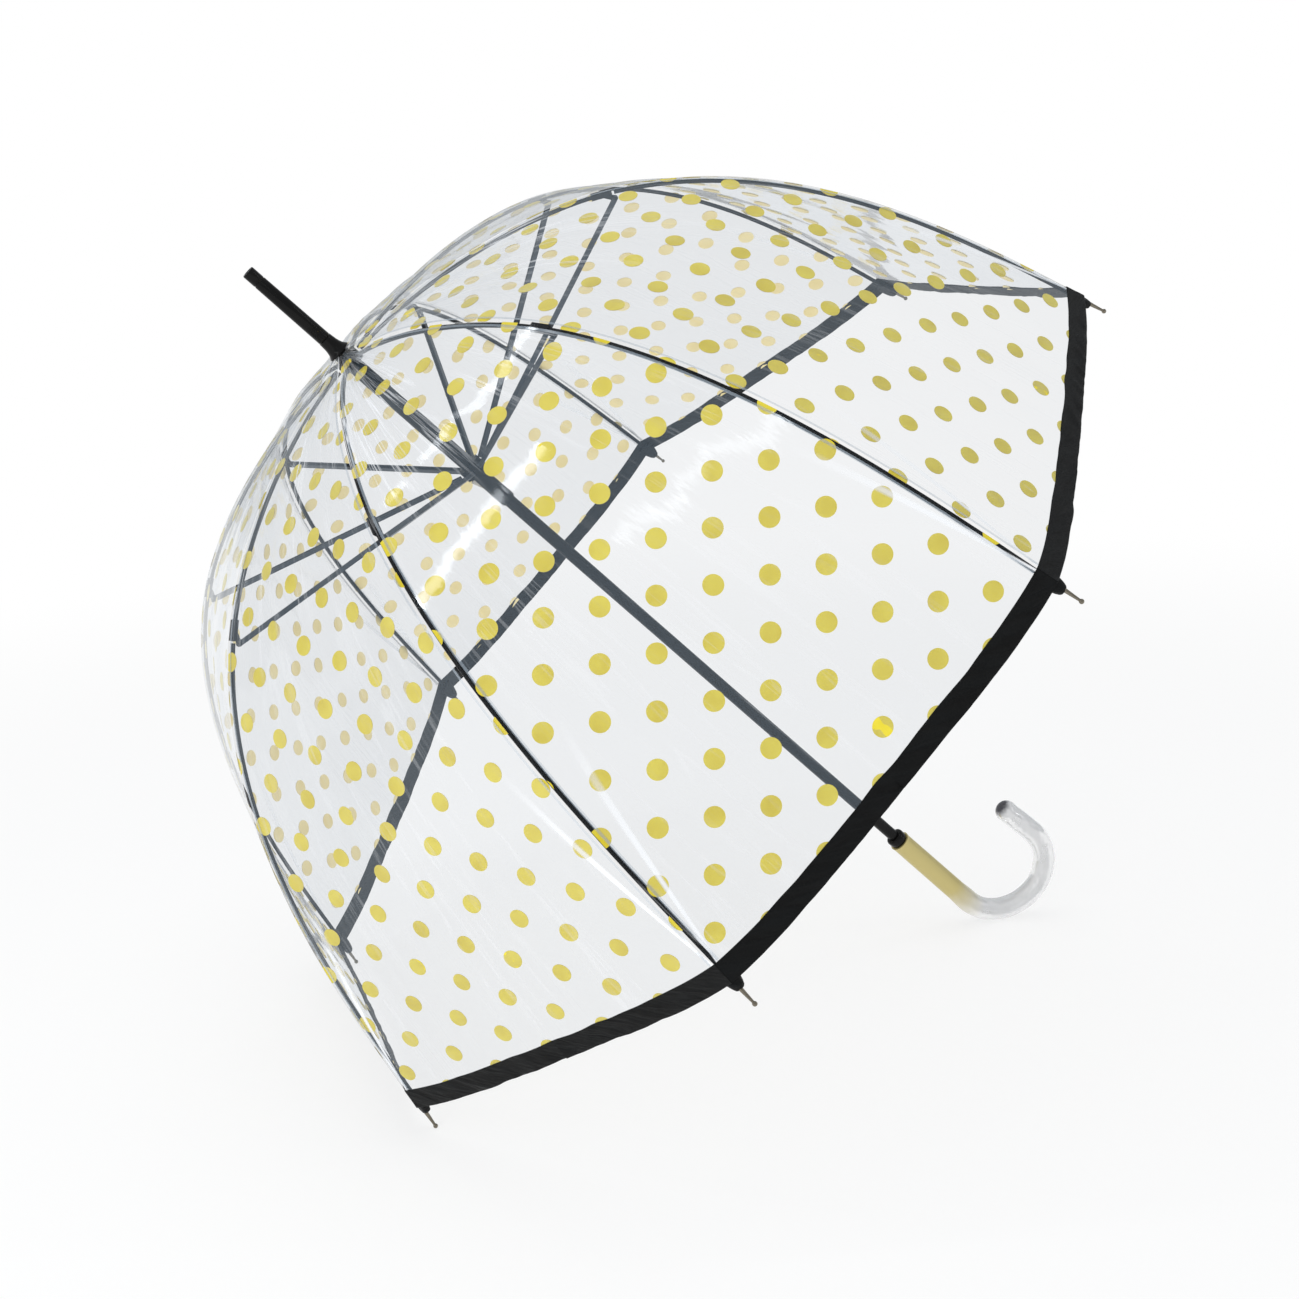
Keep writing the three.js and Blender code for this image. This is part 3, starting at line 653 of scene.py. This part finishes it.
def add_film(half):
    """The film of a half panel, and its outline: widest width, length and area in metres."""
    rows = 46 if half.part == "lower" else 34
    columns = 13
    points, uv, fit = [], [], []
    for down in np.linspace(0, 1, rows):
        for share in np.linspace(0, 1, columns):
            length = half.start + down * (half.film_end(share) - half.start)
            across = half.across(share, length)
            points.append(panel_point(half.number, across, length))
            uv.append((MM * across + half.number, MM * length))
            fit.append((MM * share * half_width(length), half.sign * (1 - share)))
    piece = add_piece(f"film_{half.tag}", half.body, "clear_film", FILM, points,
                      grid_faces(rows, columns), uv, fit)
    shares = np.linspace(0, 1, 400)
    ends = [half.film_end(share) for share in shares]
    widths = [half_width(length) for length in np.linspace(half.start, half.end, 400)]
    bow = half_width(half.end) * (np.mean(ends) - half.end)
    area = np.mean(widths) * (half.end - half.start) + bow
    outline = (MM * max(widths), MM * (max(ends) - half.start), MM * MM * area)
    return half.gather(piece), outline


def clip(polygon, keeps):
    """The part of a polygon of (across, length) points where keeps(point) is positive."""
    kept = []
    for here, after in zip(polygon, polygon[1:] + polygon[:1]):
        a, b = keeps(here), keeps(after)
        if a > 0:
            kept.append(here)
        if a * b < 0:
            share = a / (a - b)
            kept.append(tuple(h + share * (n - h) for h, n in zip(here, after)))
    return kept


def dot_centres(half):
    """The printed lattice of a panel: rows up from the hem, every other one shifted."""
    row = 0
    while True:
        length = RIB_END - DOT_FIRST_ROW - row * DOT_ROW
        if length < -DOT_RADIUS:
            return
        shift = DOT_SHIFT + (0 if row % 2 else DOT_COLUMN / 2)
        for column in range(-4, 5):
            yield shift + column * DOT_COLUMN, length
        row += 1


DOT_SIDES = 28


def add_dots(half):
    """The printed dots of a half panel: gold ink outside, and inside the same ink painted paler,
    standing in for light that the film's haze scatters over it.
    """
    outer, inner, points, uv = [], [], [], []
    for centre, middle in dot_centres(half):
        circle = []
        for i in range(DOT_SIDES):
            angle = 2 * math.pi * i / DOT_SIDES
            circle.append((centre + DOT_RADIUS * math.cos(angle),
                           middle + DOT_RADIUS * math.sin(angle)))
        shape = clip(circle, lambda p: p[1] - half.start)
        shape = clip(shape, lambda p: half.film_end(1 - abs(p[0]) / half_width(RIB_END)) - p[1])
        shape = clip(shape, lambda p: half.sign * p[0])
        shape = clip(shape, lambda p: half_width(p[1]) - half.sign * p[0])
        if len(shape) < 3:
            continue
        core = tuple(sum(values) / len(shape) for values in zip(*shape))
        for faces, lift in ((outer, INK_LIFT), (inner, INK_BACK_LIFT)):
            first = len(points)
            for place in [core, *shape]:
                points.append(panel_point(half.number, place[0], place[1], lift))
                uv.append((MM * place[0], MM * place[1]))
            for i in range(len(shape)):
                faces.append((first, first + 1 + i, first + 1 + (i + 1) % len(shape)))
    inner = [tuple(reversed(face)) for face in inner]
    piece = add_piece(f"dots_{half.tag}", half.body, "dot_yellow", INK, points,
                      outer + inner, uv)
    piece.data.materials.append(INK_BACK)
    for polygon in piece.data.polygons[len(outer):]:
        polygon.material_index = 1
    return half.gather(piece)


# the hem band's unevenness: its standing waves, and how its edges wander
BAND_PUFF = 1.2
BAND_PUFF_INSIDE = 0.6
BAND_EDGE_WANDER = 1.1
BAND_HELD = 0.35
BAND_LOOSENS = 4
BAND_SLANT = 0.9
BAND_FREES = 4
BAND_FOLD = 0.3
WAVE_ACROSS, WAVE_DOWN = 17, 26
WAVELET_HEIGHT = 0.5
WAVELET_ACROSS, WAVELET_DOWN = 6.5, 30
EDGE_ACROSS = 19


def add_band(half):
    """The hem band: black tape folded over the edge of the film. Its puff is nothing where
    it lies on the film, and most away from the ribs."""
    columns = 72
    outside = [(-BAND_WIDTH, BAND_HALF * 0.4), (BAND_FOLD - BAND_WIDTH, BAND_HALF)]
    outside += [(-BAND_WIDTH * i / 5, BAND_HALF) for i in range(4, 0, -1)]
    outside += [(-BAND_FOLD, BAND_HALF), (BAND_FOLD, 0.2), (BAND_FOLD, -0.2)]
    inside = [(down, -lift) for down, lift in reversed(outside[:-2])]
    section = outside + inside
    points, uv = [], []
    for i in range(columns):
        share = i / (columns - 1)
        across = half.across(share, RIB_END)
        for index, (down, lift) in enumerate(section):
            length = half.end_at(share) + down
            slant = across + half.sign * BAND_SLANT * length
            wave = noise.noise(Vector((slant / WAVE_ACROSS, length / WAVE_DOWN,
                                       5.3 * half.number)))
            wave += WAVELET_HEIGHT * noise.noise(Vector((
                slant / WAVELET_ACROSS, length / WAVELET_DOWN, 7.7 * half.number)))
            border = 2.0 if down < -BAND_WIDTH / 2 else 6.0
            edge = noise.noise(Vector((across / EDGE_ACROSS, border, 9.1 * half.number)))
            free = min(1.0, BAND_FREES * share * share)
            moved = length + BAND_EDGE_WANDER * edge * free
            loose = min(1.0, max(0.0, down + BAND_WIDTH - FILM_IN_BAND) / BAND_LOOSENS)
            puff = BAND_PUFF * wave * (1 if lift > 0 else BAND_PUFF_INSIDE)
            puff *= (BAND_HELD + (1 - BAND_HELD) * free) * loose
            shown = across * half_width(min(moved, RIB_END)) / half_width(RIB_END)
            points.append(panel_point(half.number, shown, moved, lift + puff))
            uv.append((MM * across + half.number, MM * index * 3))
    faces = grid_faces(columns, len(section), wrap=True)
    faces.append(tuple(reversed(range(len(section)))))
    faces.append(tuple(range(len(points) - len(section), len(points))))
    piece = add_piece(f"hem_band_{half.k}_{'left' if half.side < 0 else 'right'}",
                      half.body, "hem_black", RIBBON, points, faces, uv)
    return half.gather(piece)


def add_half(half):
    """A half panel with what is on it: its dots and, at the hem, its half of the band."""
    film, (width, length, area) = add_film(half)
    on_film = [add_dots(half)]
    if half.part == "lower":
        on_film.append(add_band(half))
        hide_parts(f"canopy_gore_{half.k}")


SEAM_LIFT = 0.35


def add_seam(k, part):
    """The two welded edges of the film's overlap over a rib."""
    rows = 48
    pair = [Half(k, side, part) for side in (-1, 1)]
    start = pair[0].start + (CROWN_RUN if part == "upper" else 0)
    end = pair[0].end - (BAND_WIDTH if part == "lower" else 0)
    points, faces, uv, fit = [], [], [], []
    for half in pair:
        first = len(points)
        for length in np.linspace(start, end, rows):
            for inset in (SEAM_NEAR, SEAM_FAR):
                across = half.sign * (half_width(length) - inset)
                points.append(panel_point(half.number, across, length, SEAM_LIFT))
                uv.append((MM * across + half.number, MM * length))
                fit.append((MM * SEAM_FAR, 0))
        faces += [tuple(first + i for i in face) for face in grid_faces(rows, 2)]
    return add_piece(f"seam_{part}_{k}", f"rib_{part}_{k}", "clear_film", SEAM, points,
                     faces, uv, fit)


# ---- ribs and tips --------------------------------------------------------------------
RIB_SECTION = [
    (-1.6, -1.3), (-1.6, 0.4), (-1.25, 1.0), (-0.5, 1.3), (0.5, 1.3), (1.25, 1.0),
    (1.6, 0.4), (1.6, -1.3), (0.95, -1.3), (0.95, 0.1), (-0.95, 0.1), (-0.95, -1.3),
]
EYE_RADIUS = 1.3
EYE_WIRE = 0.4
KNEE_GAP = 1.7
TIP_GAP = 0.3


def rib_stations(line, start, end, count, azimuth):
    """Stations for swept() along a rib's line, with the section's y axis outward."""
    stations = []
    for length in np.linspace(start, end, count):
        r, z = line.at(length)
        nr, nz = line.normal(length)
        origin = radial(azimuth) * r + Vector((0, 0, z))
        out = radial(azimuth) * nr + Vector((0, 0, nz))
        stations.append((origin, tangential(azimuth), out))
    return stations


def ring(centre, axis, radius, thickness, around=20, sides=8):
    """A small ring about an axis, as points and faces."""
    axis = axis.normalized()
    first = axis.orthogonal().normalized()
    second = axis.cross(first)
    points = []
    for i in range(around):
        turn = 2 * math.pi * i / around
        out = first * math.cos(turn) + second * math.sin(turn)
        for j in range(sides):
            roll = 2 * math.pi * j / sides
            reach = radius + thickness * math.cos(roll)
            points.append(centre + out * reach + axis * (thickness * math.sin(roll)))
    faces = grid_faces(around, sides, wrap=True)
    last = (around - 1) * sides
    for j in range(sides):
        faces.append((last + j, last + (j + 1) % sides, (j + 1) % sides, j))
    return points, faces


def add_rib(k):
    """Both bars of a rib: channels of spring steel, the upper with the eye it hinges on."""
    azimuth = rib_azimuth(k)
    end = upper_line.length - KNEE_GAP
    bar = swept(rib_stations(upper_line, RIB_START, end, 50, azimuth), RIB_SECTION)
    eye = ring(radial(azimuth) * HINGE_RADIUS, tangential(azimuth), EYE_RADIUS, EYE_WIRE)
    upper = add_piece(f"rib_bar_upper_{k}", f"rib_upper_{k}", "rib_steel", BLACK_STEEL,
                      *joined(bar, eye))
    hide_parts(f"rib_upper_{k}")
    end = lower_line.length - TIP_ROOT - TIP_GAP
    lower = add_piece(f"rib_bar_lower_{k}", f"rib_lower_{k}", "rib_steel", BLACK_STEEL,
                      *swept(rib_stations(lower_line, 0, end, 70, azimuth), RIB_SECTION))
    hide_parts(f"rib_lower_{k}")


def at_hem(azimuth):
    """Moves a shape built along Z to a rib's end, with +Z running out of the rib."""
    out, up = along(SLOPE_AT_HEM)
    direction = radial(azimuth) * out + Vector((0, 0, up))
    side = tangential(azimuth)
    turn = Matrix((side.cross(direction), side, direction)).transposed().to_4x4()
    place = radial(azimuth) * HEM[0] + Vector((0, 0, HEM[1]))
    return Matrix.Translation(place) @ turn


TIP_BALL_RADIUS = 1.75


def add_tip(k):
    """A metal cap on a rib's end, with a small ball at its point."""
    ball = TIP_ROOT + TIP_REACH
    profile = [(0.2, 0), (2.0, 0), (2.1, 0.2), (2.1, 8.8), (2.0, 9.1), (1.7, 12)]
    profile += [(0.95, ball - 1.7)]
    for i in range(1, 10):
        angle = math.radians(-58 + 16.4 * i)
        profile.append((max(0.05, TIP_BALL_RADIUS * math.cos(angle)),
                        ball + TIP_BALL_RADIUS * math.sin(angle)))
    profile = [(radius, s - TIP_ROOT) for radius, s in profile]
    tip = add_piece(f"tip_{k}", f"rib_lower_{k}", "bright_steel", TIP_METAL,
                    *turned(profile, 24, at_hem(rib_azimuth(k))))
    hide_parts(f"rib_tip_{k}")


# the tip pocket: half its width and half its height at places along the rib's end
POCKET_STATIONS = [
    (-10.4, 6.0, 0.8), (-9.6, 7.0, 2.0), (-5, 6.8, 3.2), (0, 6.0, 3.6),
    (4, 4.8, 3.4), (6.8, 3.6, 2.9), (7.6, 2.8, 2.3),
]
POCKET_LIFT = 1.2
POCKET_SIDES = 24
POCKET_SQUARENESS = 0.8


def add_pocket(k):
    """The folded black tab that holds a rib's end in the hem band."""
    stations = []
    place = at_hem(rib_azimuth(k))
    for s, width, height in POCKET_STATIONS:
        origin = place @ Vector((POCKET_LIFT, 0, s))
        stations.append((origin, place.to_3x3() @ Vector((height, 0, 0)),
                         place.to_3x3() @ Vector((0, width, 0))))
    section = []
    for i in range(POCKET_SIDES):
        angle = 2 * math.pi * i / POCKET_SIDES
        section.append(tuple(math.copysign(abs(part) ** POCKET_SQUARENESS, part)
                             for part in (math.cos(angle), math.sin(angle))))
    points, faces = swept(stations, section)
    uv = [(MM * p.x, MM * p.z) for p in points]
    pocket = add_piece(f"tip_pocket_{k}", f"rib_lower_{k}", "hem_black", RIBBON, points,
                       faces, uv)
    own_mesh(pocket)


# ---- shaft, ferrule and handle --------------------------------------------------------
def add_plastic(name, profile, replaced):
    """A turned piece of black plastic on the shaft, in place of one of the design's."""
    piece = add_piece(name, "frame", "black_plastic", BLACK_PLASTIC, *turned(profile, 56))
    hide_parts(replaced)


def add_ferrule():
    add_plastic("ferrule_tube", [
        (3.5, FERRULE_BASE), (5.2, FERRULE_BASE), (5.4, FERRULE_BASE + 0.4),
        (5.05, FERRULE_TOP - 11.8), (4.7, FERRULE_TOP - 11.3), (4.7, FERRULE_TOP - 10.8),
        (5.0, FERRULE_TOP - 10.4), (5.0, FERRULE_TOP - 0.9), (4.85, FERRULE_TOP - 0.35),
        (4.5, FERRULE_TOP), (3.2, FERRULE_TOP), (3.0, FERRULE_TOP - 0.3),
        (0.3, FERRULE_TOP - 0.4),
    ], "ferrule")
    add_plastic("crown_cup", [
        (3.5, CUP_BASE), (8.9, CUP_BASE), (9.2, CUP_BASE + 0.3), (9.1, 10.3), (8.2, 11.4),
        (7.2, 13.0), (6.5, 15.4), (6.05, 17.8), (5.8, 20.6), (5.6, FERRULE_BASE - 0.5),
        (3.5, FERRULE_BASE - 0.3),
    ], "canopy_cup")


def crook_frame(length):
    """The crook's centre and section axes at a length from the top of its grip."""
    straight = GRIP_TOP - BEND_TOP
    bend = BEND_RADIUS * math.radians(BEND_SWEEP)
    turn = max(0.0, min(length - straight, bend)) / BEND_RADIUS
    tail = max(0.0, length - straight - bend)
    x = BEND_RADIUS * (1 - math.cos(turn)) + tail * math.sin(turn)
    z = GRIP_TOP - min(length, straight) - BEND_RADIUS * math.sin(turn) - tail * math.cos(turn)
    roll = Matrix.Rotation(math.radians(CROOK_ROLL), 3, "Z")
    inward = roll @ Vector((math.cos(turn), 0, math.sin(turn)))
    return roll @ Vector((x, 0, z)), inward, roll @ Vector((0, 1, 0))


def add_collar():
    add_plastic("grip_collar", [
        (SHAFT_RADIUS + 0.1, GRIP_TOP + 0.3), (8.0, GRIP_TOP + 0.3), (8.2, GRIP_TOP + 0.6),
        (8.2, COLLAR_TOP - 2.0), (7.9, COLLAR_TOP - 0.9), (7.2, COLLAR_TOP - 0.2),
        (6.6, COLLAR_TOP), (SHAFT_RADIUS + 0.1, COLLAR_TOP),
    ], "handle_collar")


# the crook's radius: at its top, then grown along the grip, then past the grip's end
CROOK_RADIUS = 9.0
GRIP_GROWTH, GRIP_LENGTH = 0.3, 86
SHOULDER_GROWTH, SHOULDER_START, SHOULDER_RUN = 0.7, 80, 12
TOP_LIP, TOP_LIP_RUN = 0.45, 1.2
LUMP_HEIGHT, LUMP_SIZE, LUMP_START, LUMP_RUN = 0.7, 17, 95, 60
END_RADIUS, END_REACH, END_ROWS = 9.7, 9.2, 8


def crook_radius(length):
    """The crook's radius, without its lumps, at a length from the top of its grip."""
    radius = CROOK_RADIUS + GRIP_GROWTH * min(1.0, length / GRIP_LENGTH)
    radius += SHOULDER_GROWTH * min(1.0, max(0.0, length - SHOULDER_START) / SHOULDER_RUN)
    return radius + TOP_LIP * math.exp(-length / TOP_LIP_RUN)


def add_crook():
    """The acrylic handle: a straight grip, a bend and a rounded end."""
    rows, sides = 150, 40
    points, uv = [], []
    for i in range(rows):
        length = CROOK_LENGTH * i / (rows - 1)
        origin, inward, side = crook_frame(length)
        lumpy = min(1.0, max(0.0, (length - LUMP_START) / LUMP_RUN))
        for j in range(sides):
            angle = 2 * math.pi * j / sides
            out = inward * math.cos(angle) + side * math.sin(angle)
            bulge = noise.noise((origin + out * 10) / LUMP_SIZE)
            radius = crook_radius(length) + LUMP_HEIGHT * lumpy * (bulge - 0.4)
            points.append(origin + out * radius)
            uv.append((MM * radius * angle, MM * length))
    end, inward, side = crook_frame(CROOK_LENGTH)
    run = inward.cross(side)
    for i in range(1, END_ROWS + 1):
        lift = math.radians(90 * i / END_ROWS)
        for j in range(sides):
            angle = 2 * math.pi * j / sides
            out = inward * math.cos(angle) + side * math.sin(angle)
            radius = END_RADIUS * max(0.02, math.cos(lift))
            points.append(end + out * radius - run * (END_REACH * math.sin(lift)))
            uv.append((MM * radius * angle, MM * (CROOK_LENGTH + 9 * lift)))
    faces = grid_faces(rows + END_ROWS, sides, wrap=True)
    faces.append(tuple(range(sides)))
    faces.append(tuple(range(len(points) - sides, len(points))))
    crook = add_piece("crook", "frame", "clear_acrylic", CROOK, points, faces, uv)
    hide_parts("grip_sleeve", "handle_hook")


def dress_cad():
    """Materials for the design's own pieces that are shown as they are."""
    black = ["crown_notch", "stop_tube", "runner"]
    finishes = {name: BLACK_PLASTIC for name in black}
    finishes["shaft"] = BLACK_STEEL
    for name in ("crown_wire", "top_catch", "bottom_catch"):
        finishes[name] = BRIGHT_STEEL
    for k in ribs:
        finishes[f"connector_{k}"] = BLACK_PLASTIC
        finishes[f"stretcher_{k}"] = STRETCHER_STEEL
    for name, material in finishes.items():
        node = frame["nodes"][name]
        node.data.materials.clear()
        node.data.materials.append(material)


# ---- stage, light and camera ----------------------------------------------------------
ROOM_LIGHT = 0.6
FLOOR_SIZE = 60
FLOOR_ALBEDO = 0.95
FLOOR_GLOW = 0.68
FLOOR_GLOW_GROWS = (0.6, 2.2)


def add_stage():
    """A floor that is lit near the umbrella and glows white far away, and a white room."""
    bpy.ops.mesh.primitive_plane_add(size=FLOOR_SIZE, location=(0, 0, 0))
    floor = bpy.context.object
    floor.name = "floor"
    s = Shader("floor")
    from_centre = s.add("VectorMath", {"operation": "LENGTH"},
                        _0=s.add("TexCoord").outputs["Object"]).outputs["Value"]
    far = s.add("MapRange", {"interpolation_type": "SMOOTHSTEP"}, Value=from_centre,
                From_Min=FLOOR_GLOW_GROWS[0], From_Max=FLOOR_GLOW_GROWS[1],
                To_Min=FLOOR_GLOW)
    near = s.add("BsdfPrincipled", Base_Color=grey(FLOOR_ALBEDO), Roughness=0.7,
                 Specular_IOR_Level=0.1)
    glow = s.add("Emission", Color=grey(1.0), Strength=1.0)
    floor.data.materials.append(s.finish(s.add("MixShader", _0=far, _1=near, _2=glow)))
    world = bpy.data.worlds.new("studio")
    bpy.context.scene.world = world
    world.use_nodes = True
    tree = world.node_tree
    room = tree.nodes["Background"]
    room.inputs["Color"].default_value = rgb(0.95, 0.975, 1.0)
    room.inputs["Strength"].default_value = ROOM_LIGHT
    backdrop = tree.nodes.new("ShaderNodeBackground")
    backdrop.inputs["Color"].default_value = grey(1.0)
    seen = tree.nodes.new("ShaderNodeLightPath")
    mix = tree.nodes.new("ShaderNodeMixShader")
    tree.links.new(seen.outputs["Is Camera Ray"], mix.inputs[0])
    tree.links.new(room.outputs[0], mix.inputs[1])
    tree.links.new(backdrop.outputs[0], mix.inputs[2])
    tree.links.new(mix.outputs[0], tree.nodes["World Output"].inputs["Surface"])
    bpy.context.scene.view_settings.view_transform = "Standard"


def add_light(name, place, aim, size, watts, mirrored=True):
    lamp = bpy.data.lights.new(name, "AREA")
    lamp.shape = "RECTANGLE"
    lamp.size, lamp.size_y = size
    lamp.energy = watts
    holder = bpy.data.objects.new(name, lamp)
    bpy.context.scene.collection.objects.link(holder)
    holder.visible_glossy = mirrored
    holder.location = place
    holder.rotation_euler = (Vector(aim) - Vector(place)).to_track_quat("-Z", "Y").to_euler()


def add_lights():
    centre = (0, 0, 0.35)
    add_light("overhead", (-0.2, 0.2, 2.6), centre, (2.2, 2.2), 20, mirrored=False)
    add_light("low_fill", (-1.7, -2.3, 0.7), centre, (1.6, 1.0), 32, mirrored=False)
    add_light("top_strip", (-0.95, 0.2, 2.5), centre, (0.15, 1.8), 3.2)
    add_light("left_strip", (-2.2, -1.2, 1.5), centre, (0.14, 2.2), 6)
    add_light("right_strip", (2.1, -1.3, 1.4), centre, (0.14, 2.2), 4.5)
    add_light("front_strip", (-0.9, -2.6, 2.2), centre, (1.4, 0.1), 1.0)


CAMERA_PLACE = (-0.4647, -1.3562, 0.6490)
CAMERA_LENS = 49.74
CAMERA_HEADING = 18.476
CAMERA_DOWN = 13.880
CAMERA_ROLL = 3.172


def add_camera():
    heading, down, roll = map(math.radians, (CAMERA_HEADING, CAMERA_DOWN, CAMERA_ROLL))
    forward = Vector((math.sin(heading) * math.cos(down), math.cos(heading) * math.cos(down),
                      -math.sin(down)))
    level_right = forward.cross(Vector((0, 0, 1))).normalized()
    level_up = level_right.cross(forward)
    up = level_up * math.cos(roll) + level_right * math.sin(roll)
    right = forward.cross(up)
    camera = bpy.data.objects.new("camera", bpy.data.cameras.new("camera"))
    camera.data.sensor_width = 36
    camera.data.lens = CAMERA_LENS
    camera.data.clip_end = 100
    bpy.context.scene.collection.objects.link(camera)
    turn = Matrix((right, up, -forward)).transposed().to_4x4()
    camera.matrix_world = Matrix.Translation(CAMERA_PLACE) @ turn
    bpy.context.scene.camera = camera


# ---- assembly -------------------------------------------------------------------------
add_camera()
add_stage()
add_lights()
dress_cad()
add_ferrule()
add_collar()
add_crook()
for k in ribs:
    add_rib(k)
    add_tip(k)
    add_pocket(k)
    add_seam(k, "upper")
    add_seam(k, "lower")
for half in halves():
    add_half(half)
